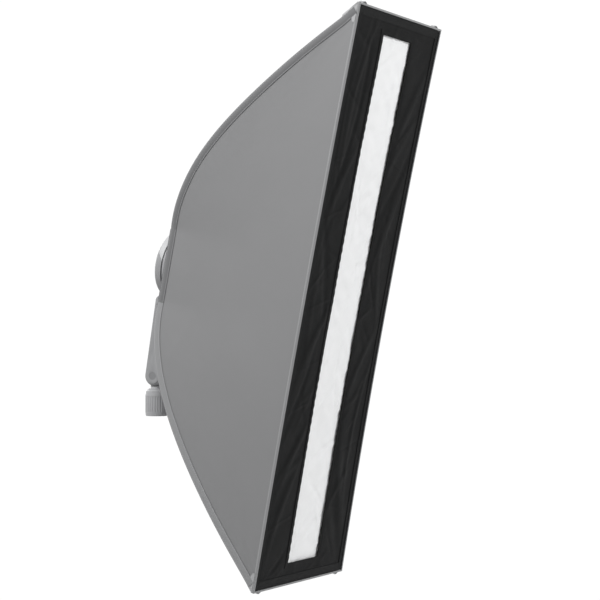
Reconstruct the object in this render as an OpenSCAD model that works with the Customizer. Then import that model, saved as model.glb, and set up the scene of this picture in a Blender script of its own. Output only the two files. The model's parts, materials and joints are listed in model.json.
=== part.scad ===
// Strip softbox: four folding rods on a turning speed ring, carried by a tilting stand arm.
// Part frame: +Z up the stand axis, origin at the mouth of the stand socket, light leaves towards -Y.
// Box frame: x across the width, y back from the front opening, z along the length.
// Everything above the tilt pivot is drawn in the box frame and placed by in_box_frame().

/* [Front] */
// Width of the front opening
front_w = 300; // [290:2:310]
// Length of the front opening
front_l = 900; // [880:5:920]
// Width of the slit in the strip mask
slit_w = 100; // [60:5:120]
// Length of the slit in the strip mask
slit_l = 828; // [700:4:840]
// Depth of the fabric lip round the opening
lip_depth = 6; // [6:0.5:8]

/* [Box] */
// Depth from the front opening to the speed ring
box_depth = 312; // [308:1:316]
// Width of the rear panel round the speed ring
rear_w = 108; // [108:1:114]
// Length of the rear panel round the speed ring
rear_l = 112; // [112:1:114]
// Thickness of the fabric
fabric_t = 1; // [0.8:0.1:1.2]

/* [Speed ring] */
// Bore that takes the flash head
head_bore_d = 76; // [74:0.5:77]
// Outer diameter of the speed ring
ring_d = 105; // [104.5:0.5:105]
// Outer diameter of the ring covers
cover_d = 109; // [108.5:0.5:109.5]

/* [Rods] */
// Diameter of a fibreglass rod
rod_d = 5.2; // [4.8:0.1:5.4]
// Straight length of a rod inside its ferrule
ferrule_l = 34; // [30:1:36]

/* [Arm] */
// Distance from the speed ring's axis down to the tilt pivot
arm_drop = 187; // [180:1:200]
// Forward tilt of the box against the stand axis
tilt_deg = 11.5; // [0:0.5:20]
// Height of the tilt pivot above the socket mouth
pivot_h = 66; // [64:1:70]
// Radius of the arm's round lower end
arm_end_r = 16; // [16:0.5:17]
// Radius of the arm's upper end
arm_top_r = 7.5; // [7:0.5:8]

/* [Stand socket] */
// Diameter of the lighting stud that the socket takes
stud_d = 16; // [15.9:0.1:16.1]
// Outer diameter of the ribbed clamp collar
collar_d = 36.6; // [36:0.2:38]
// Height of the ribbed clamp collar
collar_h = 44; // [42:1:44]
// Number of ribs round the clamp collar
rib_count = 26; // [20:1:28]

/* [Hidden] */
$fn = 64;

// Colours
grey_fabric = [0.56, 0.56, 0.57];
light_fabric = [0.70, 0.70, 0.71];
black_fabric = [0.08, 0.08, 0.09];
white_fabric = [0.95, 0.95, 0.96];
light_plastic = [0.66, 0.67, 0.68];
dark_plastic = [0.50, 0.50, 0.51];
black_plastic = [0.12, 0.12, 0.13];
steel = [0.75, 0.75, 0.77];

// Small clearances
run = 0.06;         // radial play of a turning fit
gap = 0.3;          // air between neighbours that move
screw_play = 0.1;   // radial play round a screw

// Layers of the speed ring along the box's y axis, front to back
ring_front = box_depth;
flange_t = 7;
felt_t = 0.5;
bracket_y = ring_front + flange_t + felt_t + 0.1;
bracket_t = 9;
spigot_end = bracket_y + bracket_t + gap;
retainer_t = 2.8;
cover_end = spigot_end + retainer_t + 0.6;
spigot_r = 44.3;
bracket_r = 50;
bracket_bore_r = spigot_r + run;
lip_r = 31;
panel_hole_r = 43;
hinge_ring_r = 52;
hinge_ring_t = 5;
hinge_ring_y = ring_front - fabric_t - gap - hinge_ring_t;

// Rod hinges
hinge_x = 35;
hinge_y = hinge_ring_y - 8.5;
hinge_z = 38;
eye_r = 7;
eye_w = 6;
ear_t = 3;
ear_r = 6;
pin_r = 2;
hinge = [hinge_x, hinge_y, hinge_z];

// Release buttons
button_travel = 2.5;
button_bar_z = hinge_z + eye_r + 0.2;
button_bar_t = 4;
button_bar_x = hinge_x - eye_w / 2 - ear_t - 0.5;
spring_x = 18;
spring_seat_z = hinge_z - 4;

// Seam line of the upper right edge, from the rear panel out to the front corner
seam_root = [rear_w / 2, ring_front + 1, rear_l / 2 + 5];
seam_tip = [front_w / 2, lip_depth, front_l / 2];
seam_mid_z = 216;
seam_mid_x = seam_root[0] + (seam_tip[0] - seam_root[0])
    * (seam_mid_z - seam_root[2]) / (seam_tip[2] - seam_root[2]);
seam_mid = [seam_mid_x, ring_front - 8, seam_mid_z];
function bow(a, b, c, t) = (1 - t) * (1 - t) * a + 2 * t * (1 - t) * b + t * t * c;
function seam(t) = bow(seam_root, seam_mid, seam_tip, t);
seam_steps = 20;
side_last = 0.985;

// Centre line of a rod: straight in its ferrule, then one bow to the front corner
function unit(v) = v / norm(v);
rod_r = rod_d / 2;
rod_mid = [seam_mid[0] - 8, seam_mid[1] - 6, seam_mid[2] - 4];
rod_end = [seam_tip[0] - 9, seam_tip[1] + 4, seam_tip[2] - 11];
rod_dir = unit(rod_mid - hinge);
rod_bend = hinge + ferrule_l * rod_dir;
tip_dir = unit(rod_end - rod_mid);
rod_normal = unit(cross(rod_mid - hinge, rod_end - rod_mid));
function rod_point(t) = bow(rod_bend, rod_mid, rod_end, t);
function rod_run(t) = unit((1 - t) * (rod_mid - rod_bend) + t * (rod_end - rod_mid));
rod_steps = 20;
sleeve_r = rod_r + 1.2;
tip_cap_r = 3.5;
tip_cap_l = 12;
pocket_r = 4.9;

// Parting line of the two ring covers
parting_z = 12;
parting_deg = 55;

// Arm
pivot_y = box_depth + 13;
arm_top_y = pivot_y + 13.5;
arm_top_z = -63;
arm_half_w = 13;
ear_in = 5.4;
tongue_w = 8.4;
axle_r = 4;
axle_head_r = 6.5;
slot_r = 19.5;
tenon_z = -76;
tenon_y = bracket_y + 4;
tenon_t = arm_top_y + 3.5 - tenon_y;
knob_x = 15.3;
knob_l = 17;

// Stand socket
sleeve_wall = 1.6;
bore_r = stud_d / 2 + 0.05;
bore_l = 36;
socket_bore_r = bore_r + sleeve_wall;
socket_r = 12.5;
collar_r = collar_d / 2;
cone_h = 8;
neck_r = 9.7;

// ---------- placing ----------

module in_box_frame() {
    translate([0, 0, pivot_h])
        rotate([tilt_deg, 0, 0])
            translate([0, -pivot_y, arm_drop])
                children();
}

// Mirrors a piece drawn in the upper right quarter of the box into another quarter
module quarter(side, end) {
    mirror([side < 0 ? 1 : 0, 0, 0])
        mirror([0, 0, end < 0 ? 1 : 0])
            children();
}

// Puts +Z along a direction, at a point
module along(point, dir) {
    translate(point)
        rotate([0, acos(dir[2] / norm(dir)), atan2(dir[1], dir[0])])
            children();
}

// Cylinder along the box's y axis from y0 to y1
module bar_y(y0, y1, r) {
    translate([0, y0, 0])
        rotate([-90, 0, 0])
            cylinder(h = y1 - y0, r = r);
}

// Cylinder along x from x0 to x1
module bar_x(x0, x1, r) {
    translate([x0, 0, 0])
        rotate([0, 90, 0])
            cylinder(h = x1 - x0, r = r);
}

// Ring round the box's y axis
module ring_y(y0, y1, r0, r1) {
    difference() {
        bar_y(y0, y1, r1);
        bar_y(y0 - 1, y1 + 1, r0);
    }
}

// Copies of a child at even angles round the box's y axis
module around_y(count, radius, start) {
    for (i = [0 : count - 1])
        rotate([0, start + i * 360 / count, 0])
            translate([radius, 0, 0])
                children();
}

// Screw along y: the head's underside is at y_head, and the shank ends at y_tip
module screw_y(y_head, y_tip, head_r, shank_r, head_t) {
    way = y_tip < y_head ? 1 : -1;
    bar_y(min(y_head, y_head + way * head_t), max(y_head, y_head + way * head_t), head_r);
    bar_y(min(y_head + way, y_tip), max(y_head + way, y_tip), shank_r);
}

// ---------- solids built from sections ----------

// Joins rings of points into a closed solid. Each ring runs anticlockwise about the way they travel.
// The sides named in turned are cut along their other diagonal, so that a twisted panel keeps its thickness.
module skin(rings, turned = []) {
    n = len(rings[0]);
    m = len(rings);
    points = [for (r = rings) for (p = r) p];
    sides = [
        for (i = [0 : m - 2]) for (j = [0 : n - 1])
            let (
                a = i * n + j,
                b = i * n + (j + 1) % n,
                c = a + n,
                d = b + n,
                turn = len(search(j, turned)) > 0
            )
                each turn ? [[a, c, d], [a, d, b]] : [[a, c, b], [b, c, d]]
    ];
    first = [for (j = [1 : n - 2]) [0, j, j + 1]];
    last = [for (j = [1 : n - 2]) [(m - 1) * n, (m - 1) * n + j + 1, (m - 1) * n + j]];
    polyhedron(points, concat(sides, first, last));
}

// Joins an outer and an inner set of rings into a tube that is open at both ends
module tube(outer, inner) {
    n = len(outer[0]);
    m = len(outer);
    points = [for (r = concat(outer, inner)) for (p = r) p];
    back = m * n;
    walls = [
        for (i = [0 : m - 2]) for (j = [0 : n - 1])
            let (a = i * n + j, b = i * n + (j + 1) % n, c = a + n, d = b + n) each [
                [a, c, b], [b, c, d],
                [back + a, back + b, back + c], [back + b, back + d, back + c]
            ]
    ];
    rims = [
        for (j = [0 : n - 1])
            let (a = j, b = (j + 1) % n, c = (m - 1) * n + j, d = (m - 1) * n + (j + 1) % n) each [
                [a, b, back + a], [b, back + b, back + a],
                [c, back + c, d], [d, back + c, back + d]
            ]
    ];
    polyhedron(points, concat(walls, rims));
}

// Ring of points round the rod's centre line
function rod_ring(p, dir, r, n) = [
    for (k = [0 : n - 1])
        p + r * (cos(k * 360 / n) * rod_normal + sin(k * 360 / n) * cross(dir, rod_normal))
];

// ---------- stand socket ----------

module stand_socket() color(dark_plastic) {
    difference() {
        union() {
            cylinder(h = collar_h - 0.4, r = socket_r);
            translate([0, 0, collar_h - 0.5])
                cylinder(h = 5, r = neck_r);
            translate([0, 0, pivot_h])
                bar_x(-tongue_w / 2, tongue_w / 2, 12);
            translate([-tongue_w / 2, -neck_r + 1, collar_h])
                cube([tongue_w, 2 * neck_r - 2, pivot_h - collar_h]);
        }
        translate([0, 0, -1])
            cylinder(h = bore_l + 1.6, r = socket_bore_r + run);
        // relief that lets the collet's cone open
        translate([0, 0, -1])
            cylinder(h = 20, r = socket_r + 2);
        // groove of the snap ring
        translate([0, 0, collar_h - 3.2])
            difference() {
                cylinder(h = 1.3, r = socket_r + 1);
                translate([0, 0, -0.1])
                    cylinder(h = 1.5, r = socket_r - 1);
            }
        translate([0, 0, pivot_h])
            bar_x(-tongue_w, tongue_w, axle_r + run);
    }
}

// Split sleeve that closes on the stud
module collet_sleeve() color(black_plastic) {
    difference() {
        rotate_extrude()
            polygon([
                [bore_r, 0],
                [bore_r + 1.2, 0],
                [bore_r + 1.2 + cone_h / 3, cone_h],
                [bore_r + 1.2 + cone_h / 3, 15],
                [socket_bore_r, 18.5],
                [socket_bore_r, bore_l],
                [bore_r, bore_l]
            ]);
        for (a = [0, 90])
            rotate([0, 0, a])
                translate([-20, -0.5, -1])
                    cube([40, 1, 24]);
    }
}

module snap_ring() color(steel)
    translate([0, 0, collar_h - 3.1])
        difference() {
            cylinder(h = 1.1, r = socket_r + 1.4);
            translate([0, 0, -1])
                cylinder(h = 3, r = socket_r - 0.9);
            translate([0, -1.5, -1])
                cube([20, 3, 3]);
        }

module thrust_washer() color(light_plastic)
    translate([0, 0, collar_h + 0.2])
        difference() {
            cylinder(h = 0.9, r = neck_r + 3.2);
            translate([0, 0, -1])
                cylinder(h = 3, r = neck_r + screw_play);
        }

module clamp_collar() color(dark_plastic)
    difference() {
        rotate_extrude()
            polygon([
                [11.6, 0.2],
                [collar_r - 1, 0.2],
                [collar_r - 0.4, 3],
                [collar_r, 6],
                [collar_r, 34],
                [collar_r - 0.8, 37],
                [collar_r - 1.2, 41],
                [collar_r - 4, collar_h],
                [socket_r + run, collar_h],
                [socket_r + run, collar_h - 1.6],
                [socket_r + 1.7, collar_h - 1.6],
                [socket_r + 1.7, collar_h - 3.6],
                [socket_r + run, collar_h - 3.6],
                [socket_r + run, 20],
                [15.8, 20],
                [15.8, 2],
                [11.6, 2]
            ]);
        for (i = [0 : rib_count - 1])
            rotate([0, 0, i * 360 / rib_count])
                translate([collar_r + 0.9, 0, 7])
                    cylinder(h = 26, r = 1.6, $fn = 16);
    }

// Keyed ring that the collar drives up against the collet's cone
module wedge_ring() color(steel)
    rotate_extrude()
        polygon([
            [bore_r + 2.5, 2.4],
            [15.4, 2.4],
            [15.4, 11],
            [bore_r + 2.5 + 8.6 / 3, 11]
        ]);

// ---------- arm ----------

module bracket_ring() color(dark_plastic) in_box_frame()
    difference() {
        union() {
            bar_y(bracket_y, bracket_y + bracket_t, bracket_r);
            translate([-5, tenon_y, tenon_z])
                cube([10, tenon_t, -tenon_z - bracket_bore_r - 2]);
        }
        bar_y(bracket_y - 1, bracket_y + bracket_t + 10, bracket_bore_r);
        // room for the retaining ring above the tenon
        bar_y(bracket_y + bracket_t, bracket_y + bracket_t + 10, bracket_r);
        around_y(6, bracket_r - 2.6, 30)
            bar_y(bracket_y + 1.5, bracket_y + bracket_t + 1, 1 + screw_play);
        translate([0, arm_top_y, -70])
            bar_x(-10, 10, 1.5 + screw_play);
    }

// Half of the cover that wraps the bracket ring, cut along a slanted line
module ring_cover(end) {
    cover_r = cover_d / 2;
    difference() {
        translate([0, bracket_y + 0.4, 0])
            rotate([-90, 0, 0])
                rotate_extrude()
                    polygon([
                        [bracket_r + 0.1, 0],
                        [cover_r, 0],
                        [cover_r, 8],
                        [cover_r - 0.8, 10.6],
                        [cover_r - 2.6, cover_end - bracket_y - 0.4],
                        [bracket_r, cover_end - bracket_y - 0.4],
                        [bracket_r - 0.9, cover_end - bracket_y - 1],
                        [bracket_r - 0.9, bracket_t - 0.3],
                        [bracket_r + 0.1, bracket_t - 0.3]
                    ]);
        // the other half, past a plane that slants up to the rear
        translate([-100, bracket_y + 6, parting_z])
            rotate([parting_deg, 0, 0])
                translate([0, -150, end > 0 ? -299.95 : -0.05])
                    cube([200, 300, 300]);
    }
}

module ring_cover_upper() color(light_plastic) in_box_frame()
    difference() {
        ring_cover(1);
        around_y(6, bracket_r - 2.6, 30)
            bar_y(spigot_end, cover_end + 2, 1 + screw_play);
    }

module ring_cover_lower() color(dark_plastic) in_box_frame()
    difference() {
        ring_cover(-1);
        translate([-5.1, tenon_y - 0.1, tenon_z])
            cube([10.2, 30, 40]);
    }

module cover_screws() color(steel) in_box_frame()
    around_y(6, bracket_r - 2.6, 30)
        bar_y(bracket_y + 2, bracket_y + bracket_t - 0.2, 1);

module friction_ring() color(black_plastic) in_box_frame()
    ring_y(ring_front + flange_t + 0.05, bracket_y - 0.05, spigot_r + 0.4, bracket_r - 1);

// Side outline of the arm: a round lower end and a slimmer round top, joined by a taper
module arm_outline(shrink) {
    lean = atan2(arm_top_y - pivot_y, arm_top_z + arm_drop);
    reach = norm([arm_top_y - pivot_y, arm_top_z + arm_drop]);
    spread = asin((arm_end_r - arm_top_r) / reach);
    low_r = arm_end_r - shrink;
    top_r = arm_top_r - shrink;
    translate([pivot_y, -arm_drop])
        rotate(-lean) {
            circle(r = low_r);
            translate([0, reach])
                circle(r = top_r);
            polygon([
                [-low_r * cos(spread), low_r * sin(spread)],
                [low_r * cos(spread), low_r * sin(spread)],
                [top_r * cos(spread), reach + top_r * sin(spread)],
                [-top_r * cos(spread), reach + top_r * sin(spread)]
            ]);
        }
}

// Slab of the arm's outline from x0 to x1
module arm_slab(x0, x1, shrink) {
    translate([x0, 0, 0])
        rotate([90, 0, 90])
            linear_extrude(height = x1 - x0)
                arm_outline(shrink);
}

module arm_shell(side) {
    difference() {
        mirror([side < 0 ? 1 : 0, 0, 0])
            union() {
                arm_slab(0.05, arm_half_w - 4, 0);
                arm_slab(arm_half_w - 4.01, arm_half_w - 1.6, 1.2);
                arm_slab(arm_half_w - 1.61, arm_half_w, 3.4);
            }
        // fork slot for the socket's tongue
        translate([0, pivot_y, -arm_drop])
            bar_x(-ear_in, ear_in, slot_r);
        translate([0, pivot_y, -arm_drop])
            bar_x(-20, 20, axle_r + 0.02);
        translate([0, pivot_y, -arm_drop])
            bar_x(-20, -arm_half_w + 2, axle_head_r + screw_play);
        // pocket for the bracket ring's tenon
        translate([-5.1, tenon_y - 0.1, tenon_z - 0.1])
            cube([10.2, tenon_t + 0.2, 60]);
        // room for the speed ring and its covers
        bar_y(ring_front - 20, cover_end + 0.4, cover_d / 2 + 0.2);
        for (z = [-70, -140])
            translate([0, z < -100 ? pivot_y + 5 : arm_top_y, z])
                bar_x(-20, 20, 1.5 + screw_play);
        for (z = [-70, -140])
            translate([0, z < -100 ? pivot_y + 5 : arm_top_y, z])
                bar_x(arm_half_w - 2, 20, 3);
    }
}

module arm_shell_left() color(dark_plastic) in_box_frame() arm_shell(-1);
module arm_shell_right() color(dark_plastic) in_box_frame() arm_shell(1);

module arm_screws() color(steel) in_box_frame()
    for (z = [-70, -140])
        translate([0, z < -100 ? pivot_y + 5 : arm_top_y, z]) {
            bar_x(-9, arm_half_w - 1.9, 1.5);
            bar_x(arm_half_w - 1.95, arm_half_w - 0.3, 2.8);
        }

module tilt_axle() color(steel) in_box_frame()
    translate([0, pivot_y, -arm_drop]) {
        bar_x(-arm_half_w + 0.5, arm_half_w + 1, axle_r);
        bar_x(-arm_half_w + 0.2, -arm_half_w + 1.9, axle_head_r);
        bar_x(arm_half_w + 0.9, knob_x + 11, 3);
    }

module friction_washers() color(light_plastic) in_box_frame()
    translate([0, pivot_y, -arm_drop])
        for (s = [-1, 1])
            difference() {
                bar_x(s > 0 ? tongue_w / 2 + 0.1 : -ear_in + 0.1,
                    s > 0 ? ear_in - 0.1 : -tongue_w / 2 - 0.1, 11);
                bar_x(-10, 10, axle_r + screw_play);
            }

module tilt_knob() color(black_plastic) in_box_frame()
    translate([0, pivot_y, -arm_drop])
        difference() {
            union() {
                bar_x(knob_x, knob_x + 5, 9);
                bar_x(knob_x + 5, knob_x + knob_l, 14);
            }
            for (i = [0 : 6])
                rotate([i * 360 / 7, 0, 0])
                    translate([0, 16, 0])
                        bar_x(knob_x + 4, knob_x + knob_l + 1, 4);
            bar_x(knob_x - 1, knob_x + 13, 5 + screw_play);
        }

module knob_insert() color([0.80, 0.66, 0.36]) in_box_frame()
    translate([0, pivot_y, -arm_drop])
        difference() {
            bar_x(knob_x + 0.2, knob_x + 12.5, 5);
            bar_x(knob_x - 1, knob_x + 14, 3 + run);
        }

// ---------- speed ring ----------

module rotor_ring() color(light_plastic) in_box_frame()
    difference() {
        union() {
            bar_y(ring_front, ring_front + flange_t, ring_d / 2);
            bar_y(ring_front, spigot_end, spigot_r);
            bar_y(ring_front - 4.5, ring_front, panel_hole_r - 0.5);
        }
        bar_y(ring_front, spigot_end + 1, head_bore_d / 2);
        bar_y(ring_front - 6, ring_front + 1, lip_r);
        around_y(8, 34.5, 0)
            bar_y(ring_front - 2.6, ring_front + 1, 2.5 + screw_play);
        around_y(6, 41.2, 0)
            bar_y(spigot_end - 8, spigot_end + 1, 1 + screw_play);
        around_y(4, 48, 0)
            bar_y(ring_front - 1, ring_front + 4, 1.4 + screw_play);
    }

module retaining_ring() color(dark_plastic) in_box_frame()
    difference() {
        ring_y(spigot_end, spigot_end + retainer_t, head_bore_d / 2, 48.6);
        around_y(6, 41.2, 0)
            bar_y(spigot_end - 1, cover_end + 1, 1 + screw_play);
    }

module retaining_screws() color(steel) in_box_frame()
    around_y(6, 41.2, 0)
        screw_y(spigot_end + retainer_t + 0.02, spigot_end - 6, 1.9, 1, 1.2);

module magnets() color(steel) in_box_frame()
    around_y(8, 34.5, 0)
        bar_y(ring_front - 2.5, ring_front - 0.1, 2.5);

// Ring inside the box that clamps the rear panel and carries the rod hinges
module hinge_ring() color(dark_plastic) in_box_frame()
    difference() {
        union() {
            ring_y(hinge_ring_y, hinge_ring_y + hinge_ring_t, panel_hole_r - 0.2, hinge_ring_r);
            for (side = [-1, 1])
                for (end = [-1, 1])
                    quarter(side, end) {
                        hinge_ears();
                        spring_seat();
                    }
        }
        for (side = [-1, 1])
            for (end = [-1, 1])
                quarter(side, end)
                    translate([0, hinge_y, hinge_z])
                        bar_x(hinge_x - 20, hinge_x + 20, pin_r + 0.02);
        around_y(4, 48, 0)
            bar_y(hinge_ring_y - 1, ring_front, 1.4 + screw_play);
    }

module hinge_ears() {
    for (s = [-1, 1])
        translate([hinge_x + s * (eye_w / 2 + 0.15 + ear_t / 2) - ear_t / 2, 0, 0])
            difference() {
                union() {
                    translate([0, hinge_y, hinge_z])
                        bar_x(0, ear_t, ear_r);
                    translate([0, hinge_y, hinge_z - ear_r])
                        cube([ear_t, hinge_ring_y + hinge_ring_t - hinge_y, 2 * ear_r]);
                }
                translate([-1, hinge_ring_y + hinge_ring_t - 0.01, 0])
                    cube([ear_t + 2, 20, 100]);
            }
}

// Ledge that a button spring stands on
module spring_seat() {
    translate([spring_x - 4, hinge_ring_y - 3, spring_seat_z])
        cube([8, 3.4, 10]);
    translate([spring_x - 4, hinge_y - 3, spring_seat_z])
        cube([8, hinge_ring_y - hinge_y, 1.6]);
}

module hinge_ring_screws() color(steel) in_box_frame()
    around_y(4, 48, 0)
        screw_y(hinge_ring_y - 0.02, ring_front + 3.5, 2.6, 1.4, 1.6);

module hinge_pins() color(steel) in_box_frame()
    for (side = [-1, 1])
        for (end = [-1, 1])
            quarter(side, end)
                translate([0, hinge_y, hinge_z])
                    bar_x(hinge_x - eye_w / 2 - ear_t - 0.6, hinge_x + eye_w / 2 + ear_t + 0.6, pin_r);

// Spring button that frees one pair of rods: a bar between the ferrules and a thumb tab behind the box
module release_button() {
    bar_y0 = hinge_y - 2;
    neck_z = ring_d / 2 + button_travel + 1.8;
    translate([-button_bar_x, bar_y0, button_bar_z])
        cube([2 * button_bar_x, 4, button_bar_t]);
    translate([-6, bar_y0, button_bar_z])
        cube([12, 4, neck_z - button_bar_z + 2]);
    translate([-6, bar_y0, neck_z])
        cube([12, ring_front + 4 - bar_y0, 2.2]);
    translate([-8, ring_front + 1.5, neck_z])
        cube([16, 5.3, 4.6]);
}

module release_button_upper() color(light_plastic) in_box_frame() release_button();
module release_button_lower() color(light_plastic) in_box_frame() quarter(1, -1) release_button();

// Pair of coil springs, as tubes, between the spring seats and the button's bar
module button_springs() {
    for (x = [-spring_x, spring_x])
        translate([x, hinge_y, spring_seat_z + 1.7])
            difference() {
                cylinder(h = button_bar_z - spring_seat_z - 1.8, r = 1.9);
                translate([0, 0, -1])
                    cylinder(h = 20, r = 1.3);
            }
}

module button_springs_upper() color(steel) in_box_frame() button_springs();
module button_springs_lower() color(steel) in_box_frame() quarter(1, -1) button_springs();

// ---------- fabric fixed to the speed ring ----------

module rear_panel() color(grey_fabric) in_box_frame()
    difference() {
        translate([-rear_w / 2 + 1.2, ring_front - fabric_t - 0.1, -rear_l / 2])
            cube([rear_w - 2.4, fabric_t, rear_l]);
        bar_y(ring_front - 10, ring_front + 10, panel_hole_r);
        around_y(4, 48, 0)
            bar_y(ring_front - 10, ring_front + 10, 1.4 + screw_play);
        for (end = [-1, 1])
            quarter(1, end)
                translate([-6.5, ring_front - 10, ring_d / 2 - 0.5])
                    cube([13, 20, 20]);
    }

// Points of the side panel's rear edge, bottom corner to top corner
side_edge = concat(
    [for (i = [seam_steps : -1 : 0]) let (p = seam(side_last * i / seam_steps)) [p[0], p[1], -p[2]]],
    [for (i = [0 : seam_steps]) seam(side_last * i / seam_steps)]
);

module side_panel()
    skin([
        for (p = side_edge) [
            [p[0], p[1], p[2]],
            [p[0] - fabric_t, p[1], p[2]],
            [front_w / 2 - fabric_t, lip_depth, p[2]],
            [front_w / 2, lip_depth, p[2]]
        ]
    ], turned = [1]);

module side_panel_right() color(grey_fabric) in_box_frame() side_panel();
module side_panel_left() color(grey_fabric) in_box_frame() quarter(-1, 1) side_panel();

module side_binding() {
    translate([front_w / 2 - 1.8, 0, -front_l / 2 + 3])
        cube([1.8, lip_depth - 0.1, front_l - 6]);
}

module side_binding_right() color(light_fabric) in_box_frame() side_binding();
module side_binding_left() color(light_fabric) in_box_frame() quarter(-1, 1) side_binding();

module front_diffuser() color(white_fabric) in_box_frame()
    translate([-front_w / 2 + 13, 3.6, -front_l / 2 + 20])
        cube([front_w - 26, fabric_t, front_l - 40]);

module strip_mask() color(black_fabric) in_box_frame()
    difference() {
        translate([-front_w / 2 + 2, 1.4, -front_l / 2 + 3.2])
            cube([front_w - 4, fabric_t, front_l - 6.4]);
        translate([-slit_w / 2, 0, -slit_l / 2])
            cube([slit_w, 10, slit_l]);
    }

baffle_y = 150;
baffle_w = 170;
baffle_l = 440;

module inner_baffle() color(white_fabric) in_box_frame()
    translate([-baffle_w / 2, baffle_y, -baffle_l / 2])
        cube([baffle_w, fabric_t, baffle_l]);

// Elastic straps from the baffle's corners to the side panels
module baffle_straps() color(black_fabric) in_box_frame()
    for (side = [-1, 1])
        for (end = [-1, 1])
            quarter(side, end)
                translate([baffle_w / 2 + 0.2, baffle_y, baffle_l / 2 - 14])
                    cube([27, fabric_t, 12]);

// ---------- rods and the fabric that folds with them ----------

module rod()
    skin(concat(
        [rod_ring(hinge + 10 * rod_dir, rod_dir, rod_r, 8)],
        [for (i = [0 : rod_steps]) rod_ring(rod_point(i / rod_steps), rod_run(i / rod_steps), rod_r, 8)]
    ));

module rod_upper_right() color(black_plastic) in_box_frame() quarter(1, 1) rod();
module rod_upper_left() color(black_plastic) in_box_frame() quarter(-1, 1) rod();
module rod_lower_right() color(black_plastic) in_box_frame() quarter(1, -1) rod();
module rod_lower_left() color(black_plastic) in_box_frame() quarter(-1, -1) rod();

// Copies a piece drawn for the upper right rod to both rods of one end
module pair(end)
    for (side = [-1, 1])
        quarter(side, end)
            children();

// Eye on the hinge pin, with the socket that holds the rod
module rod_ferrule()
    difference() {
        union() {
            translate([0, hinge_y, hinge_z])
                bar_x(hinge_x - eye_w / 2, hinge_x + eye_w / 2, eye_r);
            translate([hinge_x - eye_w / 2, hinge_y - 4, hinge_z])
                cube([eye_w, 8, 10]);
            along(hinge, rod_dir)
                translate([0, 0, eye_r + 1.8])
                    cylinder(h = ferrule_l - eye_r - 4, r = 4);
        }
        translate([0, hinge_y, hinge_z])
            bar_x(hinge_x - 20, hinge_x + 20, pin_r + run);
        along(hinge, rod_dir)
            translate([0, 0, 9])
                cylinder(h = ferrule_l, r = rod_r + 0.05);
        // detent in the cheek that faces the release button's bar
        translate([hinge_x - 5, hinge_y, button_bar_z + button_bar_t / 2])
            sphere(r = 2.2, $fn = 32);
    }

module rod_ferrules_upper() color(steel) in_box_frame() pair(1) rod_ferrule();
module rod_ferrules_lower() color(steel) in_box_frame() pair(-1) rod_ferrule();

module rod_tip()
    along(rod_end, tip_dir)
        difference() {
            union() {
                translate([0, 0, 4 - tip_cap_l])
                    cylinder(h = tip_cap_l - 4, r = tip_cap_r);
                sphere(r = tip_cap_r);
            }
            translate([0, 0, -tip_cap_l])
                cylinder(h = tip_cap_l + 0.1, r = rod_r + 0.15);
        }

module rod_tips_upper() color(black_plastic) in_box_frame() pair(1) rod_tip();
module rod_tips_lower() color(black_plastic) in_box_frame() pair(-1) rod_tip();

// Fabric tube along the seam that holds the rod
sleeve_rings = [for (i = [2 : rod_steps - 1]) i / rod_steps];
module rod_sleeve()
    tube(
        [for (t = sleeve_rings) rod_ring(rod_point(t), rod_run(t), sleeve_r, 8)],
        [for (t = sleeve_rings) rod_ring(rod_point(t), rod_run(t), rod_r + 0.4, 8)]
    );

module rod_sleeves_upper() color(grey_fabric) in_box_frame() pair(1) rod_sleeve();
module rod_sleeves_lower() color(grey_fabric) in_box_frame() pair(-1) rod_sleeve();

// Closed fabric pocket that holds the rod's tip in the corner
module corner_pocket()
    along(rod_end, tip_dir)
        difference() {
            translate([0, 0, -9])
                cylinder(h = 14, r = pocket_r);
            translate([0, 0, -10])
                cylinder(h = 14, r = tip_cap_r + 0.2);
        }

module corner_pockets_upper() color(light_fabric) in_box_frame() pair(1) corner_pocket();
module corner_pockets_lower() color(light_fabric) in_box_frame() pair(-1) corner_pocket();

// Curved panel between the two rods of one end
panel_play = fabric_t + 0.8;
module end_panel()
    skin([
        for (i = [0 : seam_steps])
            let (
                p = seam(i / seam_steps),
                q = i < seam_steps ? seam((i + 1) / seam_steps) - p
                    : p - seam(1 - 1 / seam_steps),
                n = fabric_t * unit([0, q[2], -q[1]]),
                w = p[0] - panel_play
            ) [
                [-w, p[1], p[2]],
                [-w, p[1] - n[1], p[2] - n[2]],
                [w, p[1] - n[1], p[2] - n[2]],
                [w, p[1], p[2]]
            ]
    ]);

module top_panel() color(grey_fabric) in_box_frame() end_panel();
module bottom_panel() color(grey_fabric) in_box_frame() quarter(1, -1) end_panel();

module end_binding() {
    translate([-front_w / 2 + 2.2, 0, front_l / 2 - 1.8])
        cube([front_w - 4.4, lip_depth - 1, 1.8]);
}

module top_binding() color(light_fabric) in_box_frame() end_binding();
module bottom_binding() color(light_fabric) in_box_frame() quarter(1, -1) end_binding();

// ---------- output ----------

stand_socket();
collet_sleeve();
snap_ring();
thrust_washer();
clamp_collar();
wedge_ring();
bracket_ring();
ring_cover_upper();
ring_cover_lower();
cover_screws();
friction_ring();
arm_shell_left();
arm_shell_right();
arm_screws();
tilt_axle();
friction_washers();
tilt_knob();
knob_insert();
rotor_ring();
retaining_ring();
retaining_screws();
magnets();
hinge_ring();
hinge_ring_screws();
hinge_pins();
release_button_upper();
release_button_lower();
button_springs_upper();
button_springs_lower();
rear_panel();
side_panel_left();
side_panel_right();
side_binding_left();
side_binding_right();
front_diffuser();
strip_mask();
inner_baffle();
baffle_straps();
rod_upper_left();
rod_upper_right();
rod_ferrules_upper();
rod_tips_upper();
rod_sleeves_upper();
corner_pockets_upper();
top_panel();
top_binding();
rod_lower_left();
rod_lower_right();
rod_ferrules_lower();
rod_tips_lower();
rod_sleeves_lower();
corner_pockets_lower();
bottom_panel();
bottom_binding();
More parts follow.
